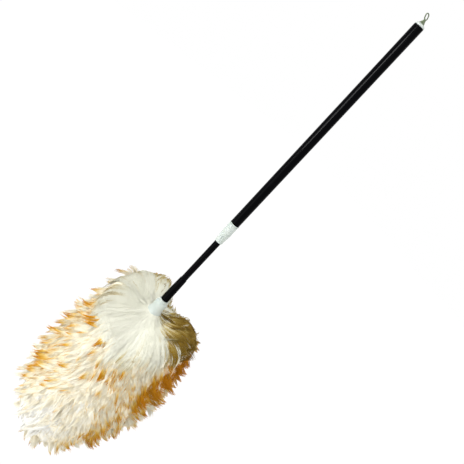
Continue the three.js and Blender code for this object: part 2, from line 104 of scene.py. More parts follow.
# %% Shader arithmetic
class Wire:
    """An output of a shader node, on which plain arithmetic makes Math nodes."""

    def __init__(self, tree, socket=None):
        self.tree = tree
        self.socket = socket

    def node(self, kind, settings=None, sockets=None, output=0):
        """One output of a new node: its settings are made first, then its sockets are set or linked."""
        made = self.tree.nodes.new("ShaderNode" + kind)
        for name, value in (settings or {}).items():
            setattr(made, name, value)
        for name, value in (sockets or {}).items():
            if isinstance(value, Wire):
                self.tree.links.new(value.socket, made.inputs[name])
            else:
                made.inputs[name].default_value = value
        return Wire(self.tree, made.outputs[output] if made.outputs else None)

    def other(self, output):
        """Another output of the same node."""
        return Wire(self.tree, self.socket.node.outputs[output])

    def maths(self, operation, first, second):
        return self.node("Math", {"operation": operation}, {0: first, 1: second})

    def __add__(self, other):
        return self.maths("ADD", self, other)

    def __sub__(self, other):
        return self.maths("SUBTRACT", self, other)

    def __rsub__(self, other):
        return self.maths("SUBTRACT", other, self)

    def __mul__(self, other):
        return self.maths("MULTIPLY", self, other)

    def step(self, low, high):
        """0 below low, 1 above high, and a smooth rise between them."""
        return self.node("MapRange", {"interpolation_type": "SMOOTHSTEP"},
                         {"Value": self, "From Min": low, "From Max": high})

    def blend(self, first, second):
        """A colour between two, by this value."""
        return self.node("Mix", {"data_type": "RGBA"}, {0: self, 6: first, 7: second}, output=2)

    def noise(self, scale, detail):
        """Noise at these places, by one scale or by one for each axis."""
        if isinstance(scale, tuple):
            return self.node("Mapping", {}, {"Vector": self, "Scale": scale}).noise(1, detail)
        return self.node("TexNoise", {}, {"Vector": self, "Scale": scale, "Detail": detail})

    __radd__ = __add__
    __rmul__ = __mul__


def new_material(name):
    """An empty material and the Wire that starts its nodes."""
    material = bpy.data.materials.new(name)
    material.use_nodes = True
    material.node_tree.nodes.clear()
    return material, Wire(material.node_tree)


def close_material(material, shader):
    """Links a shader to the output of its material."""
    shader.node("OutputMaterial", {}, {"Surface": shader})
    print("finish", material.name, "has", len(material.node_tree.nodes), "nodes")
    return material


def coated(material, sockets):
    """Closes a material with a Principled shader."""
    return close_material(material, Wire(material.node_tree).node("BsdfPrincipled", {}, sockets))


def rgb(red, green, blue):
    return (red, green, blue, 1)


# %% [markdown]
# The stage is a wide white floor well below the hanging head, and a plain white world around it. More lamps
# would also make a floor white, but they would bleach the wool. So most of the floor's white is a glow that
# only the camera and reflections see, and the rest is lit, which keeps the shadow.

# %% Floor and world
FLOOR_DROP = 0.30
FLOOR_SIZE = 14
FLOOR_PAINT = rgb(0.92, 0.92, 0.92)
FLOOR_GLOW = 0.9
FLOOR_WHITE = 1.04  # makes up for the tenth of the floor that is only lit
WHITE = rgb(1, 1, 1)

floor_height = cad_box[0][2] - FLOOR_DROP
bpy.ops.mesh.primitive_plane_add(size=FLOOR_SIZE, location=(0, 0, floor_height))
floor = bpy.context.object
floor.name = "floor"
floor_finish, start = new_material("pale_floor")
lit = start.node("BsdfDiffuse", {}, {"Color": FLOOR_PAINT})
glow = start.node("Emission", {}, {"Color": WHITE, "Strength": FLOOR_WHITE})
path = start.node("LightPath", output="Is Camera Ray")
seen = path + path.other("Is Glossy Ray") + path.other("Is Transmission Ray")
part_glow = start.node("Clamp", {}, {"Value": seen}) * FLOOR_GLOW
close_material(floor_finish, start.node("MixShader", {}, {0: part_glow, 1: lit, 2: glow}))
floor.data.materials.append(floor_finish)

world = bpy.data.worlds.new("pale_studio")
world.use_nodes = True
world.node_tree.nodes.clear()
bpy.context.scene.world = world
sky = Wire(world.node_tree)
backdrop = sky.node("Background", {}, {"Color": WHITE, "Strength": 1})
sky.node("OutputWorld", {}, {"Surface": backdrop})
bpy.context.scene.view_settings.view_transform = "Standard"
print("floor at", round(floor_height, 3), "and a world of strength 1")

# %% [markdown]
# Four flat lamps face the duster. A large soft one stands above, a little to the left, another low in front,
# and a narrow upright one on the left shapes the wool. A gloss tube would be one flat black without something
# to mirror, so the fourth lamp is seen in reflections alone, and draws a thin line along the thick tube.

# %% Lamps
LAMPS = {  # to the right, towards the camera and up from the aim, then power, width and height
    "key_lamp": (-0.3, 1.0, 1.1, 2.8, 1.2, 1.2),
    "low_lamp": (-0.7, 0.9, -0.5, 3.4, 0.8, 0.8),
    "strip_lamp": (-1.2, 0.95, 0.17, 8, 0.12, 0.9),
    "line_lamp": (-0.62, 0.95, 0.42, 30, 0.3, 1.0)}

for name, (right, near, up, power, width, height) in LAMPS.items():
    place = aim + level_right * right + outward * near + Vector((0, 0, up))
    bpy.ops.object.light_add(type="AREA", location=place)
    lamp = bpy.context.object
    lamp.name = name
    lamp.data.energy = power
    lamp.data.shape = "RECTANGLE"
    lamp.data.size, lamp.data.size_y = width, height
    lamp.rotation_euler = (lamp.location - aim).to_track_quat("Z", "Y").to_euler()
    lamp.visible_diffuse = name != "line_lamp"
    print(name, "at", tuple(round(c, 2) for c in lamp.location), "with", power, "W")

# %% [markdown]
# Most of the rigid pieces are round about the pole. Each could be a spun outline, but pulling a ring of
# edges along the outline, one extrusion after another, is how one would do it by hand, and it leaves clean
# rows of quads. A small bevel then softens the corners, which is what catches the light on real mouldings.

# %% Helpers for turned pieces
SIDES = 96
POLE_TIP = 0.00002  # the radius that stands for a point on the axis


def bend(first, towards, last, steps=8):
    """Places on a curve between two (radius, height) places, without the first."""
    shares = [(i + 1) / steps for i in range(steps)]
    return [tuple((1 - t) ** 2 * a + 2 * t * (1 - t) * b + t * t * c for a, b, c in zip(first, towards, last))
            for t in shares]


def turned(outline, corner):
    """A piece with soft corners, from a ring of edges pulled along an outline of (radius, height) places."""
    radius, height = outline[0]
    bpy.ops.mesh.primitive_circle_add(vertices=SIDES, radius=radius, location=(0, 0, height))
    bpy.ops.object.transform_apply(location=True, rotation=False, scale=False)
    bpy.ops.object.mode_set(mode="EDIT")
    bpy.ops.mesh.select_all(action="SELECT")
    for next_radius, next_height in outline[1:]:
        bpy.ops.mesh.extrude_edges_move(TRANSFORM_OT_translate={"value": (0, 0, next_height - height)})
        grow = next_radius / radius
        bpy.ops.transform.resize(value=(grow, grow, 1), center_override=(0, 0, next_height))
        radius, height = next_radius, next_height
    bpy.ops.mesh.select_all(action="SELECT")
    bpy.ops.mesh.remove_doubles(threshold=2 * POLE_TIP)
    bpy.ops.mesh.normals_make_consistent(inside=False)
    bpy.ops.object.mode_set(mode="OBJECT")
    piece = bpy.context.object
    bevel = piece.modifiers.new("soft_corners", "BEVEL")
    bevel.width = corner
    bevel.segments = 2
    bevel.angle_limit = math.radians(35)
    bpy.ops.object.modifier_apply(modifier=bevel.name)
    return piece


def combine(piece, other, operation):
    """Cuts another mesh out of a piece, or joins it on, and removes it."""
    bpy.context.view_layer.objects.active = piece
    boolean = piece.modifiers.new("combined", "BOOLEAN")
    boolean.operation = operation
    boolean.solver = "EXACT"
    boolean.object = other
    bpy.ops.object.modifier_apply(modifier=boolean.name)
    bpy.data.objects.remove(other)


def select_side(piece, side):
    """Goes to edit mode with the upper points of a piece selected, or the lower ones where side is -1."""
    bpy.ops.object.mode_set(mode="EDIT")
    bpy.ops.mesh.select_all(action="DESELECT")
    bpy.ops.object.mode_set(mode="OBJECT")
    for vertex in piece.data.vertices:
        vertex.select = vertex.co.z * side > 1e-6
    bpy.ops.object.mode_set(mode="EDIT")


def place_piece(piece, name, body, node, material):
    """Names a finished piece, smooths it, gives it its finish and lets it stand for its CAD node."""
    bpy.ops.object.select_all(action="DESELECT")
    bpy.context.view_layer.objects.active = piece
    piece.select_set(True)
    bpy.ops.object.shade_smooth_by_angle(angle=math.radians(40))
    piece.name = name
    piece.data.materials.clear()
    piece.data.materials.append(material)
    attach(piece, body)
    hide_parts(node)
    print(name, "has", len(piece.data.polygons), "faces")


# %% [markdown]
# The tubes and the head socket are black plastic with a satin gloss. Extruded tube carries faint lines along
# its length, so the noise is stretched along Z. It moves the roughness and a very low bump, and a few paler
# rubs break the black, which would look painted on if it were one value.


# %% Black plastic
def black_plastic():
    material, start = new_material("black_plastic")
    place = start.node("TexCoord", output="Object")
    drawn = place.noise((900, 900, 14), 3)
    cloud = place.noise(45, 4)
    rubs = (cloud * 0.55 + drawn * 0.45).step(0.56, 0.74)
    colour = rubs.blend(rgb(0.0010, 0.0010, 0.0016), rgb(0.003, 0.003, 0.004))
    relief = start.node("Bump", {}, {"Height": drawn, "Strength": 0.05, "Distance": 0.0002})
    return coated(material, {
        "Base Color": colour, "Roughness": drawn * 0.06 + rubs * 0.08 + 0.13, "Normal": relief,
        "Specular IOR Level": 0.03})


tube_black = black_plastic()

# %% [markdown]
# The cap, the nose and the collar are natural plastic: milky, a little green where it is thick, and
# slightly see-through. On the cap, the darker green of the solid cone and eye is partly that and partly
# painted shade. Some light that enters a real one comes out beside the point where it went in.
# Subsurface on the shader does that, so the base colour only needs soft clouds and the faint flow lines
# that moulding leaves.

# %% Natural plastic
MILKY = rgb(0.58, 0.62, 0.585)
GREENISH = rgb(0.49, 0.55, 0.51)
CORE_FADE = 0.0008


def natural_plastic(name, clear, thick, core_and_shade=None, core_height=0):
    """Milky plastic. Above a height it is solid through and takes a darker green, partly painted shade."""
    material, start = new_material(name)
    place = start.node("TexCoord", output="Object")
    cloud = place.noise(60, 3)
    grain = place.noise((260, 260, 60), 5)
    colour = (cloud * 0.8 + grain * 0.2).step(0.30, 0.72).blend(clear, thick)
    # above the height a darker green, partly painted shade
    if core_and_shade:
        height = start.node("SeparateXYZ", {}, {"Vector": place}, output="Z")
        colour = (height - core_height).step(0, CORE_FADE).blend(colour, core_and_shade)
    relief = start.node("Bump", {}, {"Height": grain, "Strength": 0.015, "Distance": 0.0002})
    return coated(material, {
        "Base Color": colour, "Roughness": grain * 0.1 + 0.30, "Normal": relief,
        "Subsurface Weight": 0.35, "Subsurface Radius": (1.0, 1.0, 0.85), "Subsurface Scale": 0.001,
        "Specular IOR Level": 0.25})


fitting_white = natural_plastic("natural_plastic", MILKY, GREENISH)
lock_white = natural_plastic("lock_plastic", rgb(0.76, 0.73, 0.65), rgb(0.70, 0.66, 0.57))

# %% [markdown]
# The two tubes are plain pipes, open at both ends. Their radii and lengths come from the frame, and only
# the wall is written here.

# %% Tubes
TUBE_WALL = 0.001
TUBE_CORNER = 0.0002


def pipe(node):
    low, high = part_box(node)
    bore = high.x - TUBE_WALL
    outline = [(high.x, low.z), (high.x, high.z), (bore, high.z), (bore, low.z), (high.x, low.z)]
    return turned(outline, TUBE_CORNER)


place_piece(pipe("outer_tube"), "thick_tube", "outer_pole", "outer_tube", tube_black)
place_piece(pipe("inner_tube"), "thin_tube", "inner_pole", "inner_tube", tube_black)

# %% [markdown]
# The cap closes the handle end with a flange, a low dome and a small cone. Its eye starts as a torus: the
# upper half is moved up to make it long, the whole ring is widened into a flat band, leaned over, and
# joined to the cone with a boolean, because on the real cap they are one moulding. The cone and the eye are
# solid through and painted a darker green than the thin flange, partly their own deeper colour and partly
# painted shade for the shade and refraction in the thick plastic.

# %% End cap
FLANGE_THICK = 0.0014
DOME_HEIGHT = 0.0024
CONE_BASE = 0.0050
CONE_TIP = 0.0016
CONE_HEIGHT = 0.008
PLUG_WALL = 0.0016
PLUG_GAP = 0.0002
EYE_HOLE_WIDTH = 0.0052
EYE_HOLE_LENGTH = 0.0084
EYE_WALL = 0.0013
EYE_THICK = 0.0020
EYE_LEAN = math.radians(22)
CAP_CORNER = 0.0003
# the cone and eye: partly their own deeper green, partly painted shade and refraction
CONE_GREEN_AND_SHADE = rgb(0.13, 0.165, 0.095)


def end_cap_body():
    low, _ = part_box("end_cap")
    rim = tube_high.x
    plug = rim - TUBE_WALL - PLUG_GAP
    flange = tube_high.z + PLUG_GAP
    dome = flange + FLANGE_THICK
    cone = dome + DOME_HEIGHT
    outline = [(POLE_TIP, flange), (plug - PLUG_WALL, flange), (plug - PLUG_WALL, low.z), (plug, low.z),
               (plug, flange), (rim, flange), (rim, dome)]
    outline += bend((rim, dome), (rim - DOME_HEIGHT / 2, cone), (CONE_BASE, cone))
    top = cone + CONE_HEIGHT
    outline += bend((CONE_BASE, cone), (CONE_TIP * 1.5, cone + CONE_HEIGHT / 2), (CONE_TIP, top))
    return turned(outline + [(POLE_TIP, top)], CAP_CORNER)


def hanging_eye():
    ring = (EYE_HOLE_WIDTH + EYE_WALL) / 2
    stretch = EYE_HOLE_LENGTH - EYE_HOLE_WIDTH
    foot = -(EYE_HOLE_LENGTH + EYE_WALL) * math.cos(EYE_LEAN)
    bpy.ops.mesh.primitive_torus_add(
        major_segments=64, minor_segments=20, major_radius=ring, minor_radius=EYE_WALL / 2,
        rotation=(0, math.pi / 2, 0))
    bpy.ops.object.transform_apply(location=False, rotation=True, scale=False)
    eye = bpy.context.object
    select_side(eye, 1)
    bpy.ops.transform.translate(value=(0, 0, stretch))
    bpy.ops.mesh.select_all(action="SELECT")
    bpy.ops.transform.resize(value=(EYE_THICK / EYE_WALL, 1, 1), center_override=(0, 0, 0))
    bpy.ops.object.mode_set(mode="OBJECT")
    upright = Matrix.Translation((0, 0, ring + EYE_WALL / 2))
    eye.matrix_world = Matrix.Translation((0, 0, foot)) @ Matrix.Rotation(-EYE_LEAN, 4, "Y") @ upright
    bpy.ops.object.transform_apply(location=True, rotation=True, scale=True)
    return eye


eye = hanging_eye()
cap = end_cap_body()
combine(cap, eye, "UNION")
cone_foot = tube_high.z + FLANGE_THICK + DOME_HEIGHT
cap_finish = natural_plastic("cap_plastic", MILKY, GREENISH, CONE_GREEN_AND_SHADE, cone_foot)
place_piece(cap, "handle_cap", "outer_pole", "end_cap", cap_finish)

# %% [markdown]
# The nose sits in the mouth of the thick tube and guides the thin one. From the tube it has a rim, a groove,
# a plain body, a long taper with four shallow slots, and a small lip. An inset could sink the slots, but it
# would follow the quads, so a round-ended bar is cut out instead.

# %% Nose
NOSE_RIM_PROUD = 0.0005
NOSE_RIM = 0.0016
NOSE_GROOVE = 0.0010
NOSE_GROOVE_DEEP = 0.0008
NOSE_BODY_PROUD = 0.0002
NOSE_BODY = 0.0170
NOSE_LIP = 0.0026
NOSE_LIP_PROUD = 0.00035
NOSE_TIP_WALL = 0.0009
NOSE_GUIDE_GAP = 0.0004
SLOT_LENGTH = 0.0064
SLOT_WIDTH = 0.0026
SLOT_FROM_END = 0.0114
SLOT_COUNT = 4
SLOT_FLOOR = 0.0006
SEAT_GAP = 0.0002
NOSE_CORNER = 0.00025


def slot_cutter(turn, height, inner, outer):
    """A round-ended bar between two radii that points outwards from the pole."""
    bpy.ops.mesh.primitive_cylinder_add(
        vertices=32, radius=SLOT_WIDTH / 2, depth=outer - inner, rotation=(0, math.pi / 2, 0))
    bpy.ops.object.transform_apply(location=False, rotation=True, scale=False)
    bar = bpy.context.object
    straight = SLOT_LENGTH - SLOT_WIDTH
    for side in (1, -1):
        select_side(bar, side)
        bpy.ops.transform.translate(value=(0, 0, side * straight / 2))
        bpy.ops.object.mode_set(mode="OBJECT")
    bar.matrix_world = Matrix.Rotation(turn, 4, "Z") @ Matrix.Translation(((inner + outer) / 2, 0, height))
    bpy.ops.object.transform_apply(location=True, rotation=True, scale=True)
    return bar


def nose_body():
    low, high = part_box("nose_ferrule")
    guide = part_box("inner_tube")[1].x + NOSE_GUIDE_GAP
    spigot = tube_high.x - TUBE_WALL - PLUG_GAP
    rim_top = tube_low.z - SEAT_GAP
    rim = tube_high.x + NOSE_RIM_PROUD
    body = tube_high.x + NOSE_BODY_PROUD
    groove_top = rim_top - NOSE_RIM
    body_top = groove_top - NOSE_GROOVE
    tip = guide + NOSE_TIP_WALL
    lip = tip + NOSE_LIP_PROUD
    lip_top = low.z + NOSE_LIP
    taper_top = (body, body_top - NOSE_BODY)
    outline = [(tip, low.z), (lip, low.z + NOSE_LIP_PROUD), (lip, lip_top - NOSE_LIP_PROUD), (tip, lip_top)]
    outline += bend((tip, lip_top), (body - NOSE_BODY_PROUD, lip_top + SLOT_LENGTH * 1.6), taper_top)
    outline += [(body, body_top), (body - NOSE_GROOVE_DEEP, body_top), (body - NOSE_GROOVE_DEEP, groove_top),
                (rim, groove_top), (rim, rim_top), (spigot, rim_top), (spigot, high.z), (guide, high.z),
                (guide, low.z), (tip, low.z)]
    piece = turned(outline, NOSE_CORNER)
    for i in range(SLOT_COUNT):
        turn = CAMERA_TURN + i * 2 * math.pi / SLOT_COUNT
        slot = slot_cutter(turn, low.z + SLOT_FROM_END, guide + SLOT_FLOOR, 2 * rim)
        combine(piece, slot, "DIFFERENCE")
    return piece


place_piece(nose_body(), "nose_guide", "outer_pole", "nose_ferrule", fitting_white)

# %% [markdown]
# The head socket is a sleeve on the end of the thin tube that flares to a wider mouth. The collar below it is
# natural plastic again: a rim, a groove, a short body and a skirt that flares over the roots of the wool. The
# flares are curves with one bend, so the rings that are pulled along them lie close enough to look smooth.

# %% Socket and collar
SOCKET_TOP_WALL = 0.0005
STUD_HOLE = 0.0043
SOCKET_SEAT = 0.026
SOCKET_CORNER = 0.0002
COLLAR_RIM = 0.003
COLLAR_GROOVE = 0.001
COLLAR_GROOVE_DEEP = 0.0007
COLLAR_RIM_PROUD = 0.0013
COLLAR_BODY_RADIUS = 0.0108
COLLAR_BODY = 0.009
COLLAR_WALL = 0.0018
COLLAR_CORNER = 0.0003


def socket_body():
    low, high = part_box("head_socket")
    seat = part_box("inner_tube")[1].x + PLUG_GAP
    web = high.z - SOCKET_SEAT - SEAT_GAP
    middle = (low.z + high.z) / 2
    outline = [(STUD_HOLE, low.z), (high.x, low.z)]
    outline += bend((high.x, low.z), (high.x, middle), (seat + SOCKET_TOP_WALL, high.z), steps=12)
    outline += [(seat, high.z), (seat, web), (STUD_HOLE, web), (STUD_HOLE, low.z)]
    return turned(outline, SOCKET_CORNER)


def collar_body():
    low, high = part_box("head_ferrule")
    skirt = high.x
    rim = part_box("head_socket")[1].x + COLLAR_RIM_PROUD
    groove = rim - COLLAR_GROOVE_DEEP
    cavity = COLLAR_BODY_RADIUS - COLLAR_WALL
    rim_end = high.z - COLLAR_RIM
    groove_end = rim_end - COLLAR_GROOVE
    shoulder = groove_end - (COLLAR_BODY_RADIUS - groove)
    body_end = shoulder - COLLAR_BODY
    flare = (body_end + low.z) / 2
    mouth = skirt - COLLAR_WALL
    outline = [(mouth, low.z), (skirt, low.z)]
    outline += bend((skirt, low.z), (COLLAR_BODY_RADIUS, flare), (COLLAR_BODY_RADIUS, body_end), steps=12)
    outline += [(COLLAR_BODY_RADIUS, shoulder), (groove, groove_end), (groove, rim_end), (rim, rim_end),
                (rim, high.z), (STUD_HOLE, high.z), (STUD_HOLE, shoulder - COLLAR_WALL),
                (cavity, shoulder - COLLAR_WALL), (cavity, body_end)]
    outline += bend((cavity, body_end), (cavity, flare), (mouth, low.z), steps=12)
    return turned(outline, COLLAR_CORNER)


place_piece(socket_body(), "head_sleeve", "inner_pole", "head_socket", tube_black)
place_piece(collar_body(), "head_collar", "inner_pole", "head_ferrule", fitting_white)

# %% [markdown]
# The wool grows from a strip of sheepskin that is wound on the core. It is combed into pointed locks that
# leave the collar as a smooth cape and then stand in rows down the head. Blender's own hair is no mesh, so it
# would be lost in the export. Here the pile first gets a skin to steer by, which starts as an outline from
# the collar over the rim to the tip. A smooth line through a few places is enough for it.

# %% The pile's outline
PILE_OUTLINE = (  # radius, depth below the collar
    (0.030, -0.002), (0.057, -0.007), (0.080, -0.002), (0.095, 0.012), (0.103, 0.049), (0.111, 0.100),
    (0.114, 0.143), (0.108, 0.188), (0.100, 0.228), (0.088, 0.266), (0.070, 0.300), (0.046, 0.327),
    (0.022, 0.342), (0.0, 0.346))
ROOT_RADIUS = 0.0115
ROOT_RISE = 0.006  # how far the first roots lie inside the collar's skirt
SKIRT_GAP = 0.002  # between the wool and the rim of the skirt
SKIRT_DROP = 0.001

collar_low, collar_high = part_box("head_ferrule")
skirt_radius = collar_high.x


def smooth_line(points, steps=24):
    """Places on a smooth line through the given ones."""
    knots = np.vstack([2 * points[0] - points[1], points, 2 * points[-1] - points[-2]])
    t = np.linspace(0, 1, steps, endpoint=False)[:, None]
    parts = [b + (c - a) * t / 2 + (a - 2.5 * b + 2 * c - d / 2) * t ** 2
             + (1.5 * (b - c) + (d - a) / 2) * t ** 3
             for a, b, c, d in zip(knots, knots[1:], knots[2:], knots[3:])]
    return np.vstack(parts + [points[-1:]])


def unit(vectors):
    """The same vectors, each with a length of one."""
    return vectors / np.linalg.norm(vectors, axis=-1)[..., None]


outline = [(ROOT_RADIUS, collar_low.z + ROOT_RISE), (skirt_radius - SKIRT_GAP, collar_low.z - SKIRT_DROP)]
outline += [(radius, collar_low.z - depth) for radius, depth in PILE_OUTLINE]
skin = smooth_line(np.array(outline))
skin_along = np.concatenate([[0], np.cumsum(np.hypot(*np.diff(skin, axis=0).T))])
skin_end = skin_along[-1]
skin_run = unit(np.gradient(skin, skin_along, axis=0))
skin_out = np.stack([-skin_run[:, 1], skin_run[:, 0]], axis=1)
print("the skin runs", round(skin_end * 1000), "mm from the collar to the tip")

# %% [markdown]
# Turned about the pole the outline would make an even pear, but a hanging duster is lopsided: the pile rises
# behind the collar and falls away in front of it, stands up in a ruff on one side, and leans as it goes down.
# One function gives the place for any way along the skin, turn about the pole and height above it.

# %% The pile's skin
PILE_SINK = 0.008  # how far the skin lies below the tips of the locks
SINK_RUN = 0.06
RISE_SLOPES = (  # turn about the pole in degrees, slope of the pile's upper side
    (-45, -0.75), (0, -0.20), (40, 0.42), (75, 0.25), (110, -0.42), (127, -0.30),
    (141, 0.45), (155, 0.85), (180, 0.75), (225, 0.25), (270, -0.40))
LEAN = 0.014  # how far the pile drifts to one side from top to tip
LEAN_START = 0.10
LEAN_END = 0.30
LEAN_RUN = 0.08
TIP_ZONE = 0.022
TIP_SPILL = 0.42
RUFF_TURN = math.radians(104)  # on this side the wool stands up beside the collar
RUFF_HALF = 0.50
RUFF_HEIGHT = 0.018
RUFF_WIDTH = 0.084
FACING_EDGE = 0.004  # the skin's facing is taken this far from its ends
FACING_STEP = 0.003
FACING_TURN = 0.03


def round_pole(turn, table):
    """The values at some turns, eased between the (degrees, value) pairs of a table that goes once round."""
    degrees, values = np.array(table + ((table[0][0] + 360, table[0][1]),)).T
    place = np.interp((np.degrees(turn) - degrees[0]) % 360 + degrees[0], degrees, np.arange(len(degrees)))
    low = np.minimum(place.astype(int), len(table) - 1)
    share = place - low
    return values[low] + (values[low + 1] - values[low]) * share * share * (3 - 2 * share)


def turn_between(turn, other):
    """The shorter way round from one turn to another."""
    return np.angle(np.exp(1j * (turn - other)))


def near_turn(turn, middle, half):
    """1 at one turn about the pole, and less and less on both sides of it."""
    return np.exp(-(turn_between(turn, middle) / half) ** 2)


def on_skin(along, turn, lift, last=TIP_ZONE):
    """Places that lie so far along the skin from the collar, so far round the pole and so far above it."""
    past = np.maximum(along - (skin_end - last), 0)
    along = np.maximum(along - past, 0)
    lift = lift + TIP_SPILL * past - PILE_SINK * np.minimum(along / SINK_RUN, 1)
    radius = np.interp(along, skin_along, skin[:, 0])
    height = np.interp(along, skin_along, skin[:, 1])
    fall = (1 - along / skin_end) ** 3
    beside = np.maximum(radius - skirt_radius, 0)
    ruff = RUFF_HEIGHT * near_turn(turn, RUFF_TURN, RUFF_HALF)
    ruff = ruff * np.sin(np.pi * np.minimum(beside / RUFF_WIDTH, 1)) ** 2
    rise = (round_pole(turn, RISE_SLOPES) * beside + ruff) * fall
    radius = radius + lift * np.interp(along, skin_along, skin_out[:, 0])
    height = height + lift * np.interp(along, skin_along, skin_out[:, 1]) + rise
    drift = np.clip((collar_low.z - height - LEAN_START) / (LEAN_END - LEAN_START), 0, 1)
    aside = LEAN * (drift * drift * (3 - 2 * drift) - 0.5) * np.minimum(along / LEAN_RUN, 1)
    x = radius * np.cos(turn) - aside * level_right.x
    y = radius * np.sin(turn) - aside * level_right.y
    return np.stack([x, y, height], axis=-1)


def skin_facing(along, turn):
    """Which way the skin faces at some places."""
    along = np.clip(along, FACING_EDGE, skin_end - TIP_ZONE - FACING_EDGE)
    here = on_skin(along, turn, 0)
    ahead = on_skin(along + FACING_STEP, turn, 0) - here
    return unit(np.cross(ahead, on_skin(along, turn + FACING_TURN, 0) - here))


print("the pile's upper side slopes by up to", max(slope for _, slope in RISE_SLOPES))

# %% [markdown]
# Wool has an order: fibres gather into locks and locks lean together into tufts. Tufts could be scattered,
# but on the wound strip they stand in rows, so they are planted in rows here. Each tuft has its root, its way
# along the skin, how deep it starts, how far its tip stands out and how far it swings sideways.

# %% Rows of tufts
ROW_STEP = 0.012  # from one row to the next
ROOT_DEPTH = 0.006
FAN = 0.022  # how far the wool parts from the middle of the near side
BRUSH_TURN = math.radians(25)  # on this side the wool is brushed to stand straighter out
BRUSHED = 0.5
STAND_CHANCE = 0.005
SWING_WAVE = 0.006
SWING_CHANCE = 0.006
FEWEST_TUFTS = 9
ROOT, TURN, WAY, _, PROUD, _ = range(6)  # the order of a tuft's values

rng = np.random.default_rng(11)


def plant_row(along, count, travel, depth, stand, fan=0):
    """One row of tufts round the pole. Each column of the result is one tuft."""
    turn = np.arange(count) + rng.uniform(-0.45, 0.45, count)
    turn = turn * 2 * np.pi / count + rng.uniform(0, 2 * np.pi)
    root = along + rng.uniform(-0.5, 0.5, count) * ROW_STEP
    way = travel * rng.uniform(0.86, 1.16, count)
    deep = -depth * rng.uniform(0.8, 1.1, count)
    proud = stand + rng.uniform(-1, 1, count) * STAND_CHANCE
    swing = fan * np.sin(turn - CAMERA_TURN) + SWING_WAVE * np.sin(3 * turn + 40 * along)
    swing = swing + rng.normal(0, SWING_CHANCE, count)
    return np.stack([np.maximum(root, 0), turn, way, deep, proud, swing])


def plant_rows(start, end, step, width, travel, stand):
    """Rows of tufts between two places on the way from the collar to the tip of the head."""
    rows = []
    for along in np.arange(start, end, step):
        radius = np.interp(along + travel, skin_along, skin[:, 0])
        count = max(FEWEST_TUFTS, round(2 * math.pi * radius / width))
        row = plant_row(along, count, travel, ROOT_DEPTH, stand, FAN)
        row[WAY] *= 1 - BRUSHED * (1 + np.cos(row[TURN] - BRUSH_TURN)) / 2
        rows.append(row)
    return np.concatenate(rows, axis=1)


# %% [markdown]
# The cape is the smooth wool round the collar, in a few rows of long tufts that lie flat on one another. On
# one side it ends sooner and leaves the rim bare, where the wool is darker, partly by painted shade. Below it
# the body's tufts overlap like tiles.

# %% Cape and body
CAPE_ROWS = 5
CAPE_STEP = 0.011
CAPE_TUFTS = 36
CAPE_REACH = 0.128
CAPE_FLAT = 0.001  # how deep the roots start and how far the tips stand out
CAPE_SHORT = 0.35
CAPE_SHORT_TURN = math.radians(28)  # on this side the cape is shorter
CAPE_SHORT_HALF = 0.6
BODY_START = 0.095
BODY_END = skin_end - 0.02
BODY_WIDTH = 0.017
BODY_TRAVEL = 0.052
BODY_STAND = 0.001

cape_rows = [plant_row(i * CAPE_STEP, CAPE_TUFTS, CAPE_REACH - i * CAPE_STEP, CAPE_FLAT, CAPE_FLAT)
             for i in range(CAPE_ROWS)]
cape_tufts = np.concatenate(cape_rows, axis=1)
cape_tufts[WAY] *= 1 - CAPE_SHORT * near_turn(cape_tufts[TURN], CAPE_SHORT_TURN, CAPE_SHORT_HALF)
body_tufts = plant_rows(BODY_START, BODY_END, ROW_STEP, BODY_WIDTH, BODY_TRAVEL, BODY_STAND)
print("the cape has", cape_tufts.shape[1], "tufts and the body", body_tufts.shape[1])

# %% [markdown]
# Some tufts stand out from the body as points. They begin further down on the near side, are ruffled on the
# left and longer towards the tip, and a few wisps reach over the rim. Short tufts cover the rim where the
# cape leaves it bare.

# %% Points and rim
SPIKE_START = (0.105, 0.065)  # on the near side and on the far side
SPIKE_STEP = 0.020
SPIKE_WIDTH = 0.026
SPIKE_TRAVEL = 0.038
SPIKE_STAND = 0.0145
SPIKE_LEAST = 0.75  # the share of it at the collar, and what the way to the tip adds
SPIKE_GROW = 0.5
RUFFLED_TURN = math.radians(228)  # on this side the tufts stand out most
RUFFLED_HALF = 0.40
RUFFLED = 0.65
WISP_TURN = math.radians(205)  # here a few long wisps stand out over the rim
WISP_HALF = 0.2
WISP_ALONG = 0.09
WISP_REACH = 0.03
RIM_START = 0.030
RIM_TURN = math.radians(92)  # on this side short brown tufts cover the rim
RIM_HALF = math.radians(86)
RIM_TRAVEL = 0.034
RIM_STAND = 0.006

spike_tufts = plant_rows(min(SPIKE_START), BODY_END, SPIKE_STEP, SPIKE_WIDTH, SPIKE_TRAVEL, SPIKE_STAND)
near = (1 + np.cos(spike_tufts[TURN] - CAMERA_TURN)) / 2
spike_tufts = spike_tufts[:, spike_tufts[ROOT] > SPIKE_START[0] * near + SPIKE_START[1] * (1 - near)]
ruffled = RUFFLED * near_turn(spike_tufts[TURN], RUFFLED_TURN, RUFFLED_HALF)
wisps = np.exp(-((spike_tufts[ROOT] - WISP_ALONG) / WISP_REACH) ** 2)
wisps = wisps * near_turn(spike_tufts[TURN], WISP_TURN, WISP_HALF)
spike_tufts[PROUD] *= SPIKE_LEAST + (SPIKE_GROW + ruffled) * spike_tufts[ROOT] / skin_end + wisps
rim_tufts = plant_rows(RIM_START, BODY_START, ROW_STEP, BODY_WIDTH, RIM_TRAVEL, RIM_STAND)
rim_tufts = rim_tufts[:, np.abs(turn_between(rim_tufts[TURN], RIM_TURN)) < RIM_HALF]
print(spike_tufts.shape[1], "tufts stand out as points and", rim_tufts.shape[1], "cover the rim")
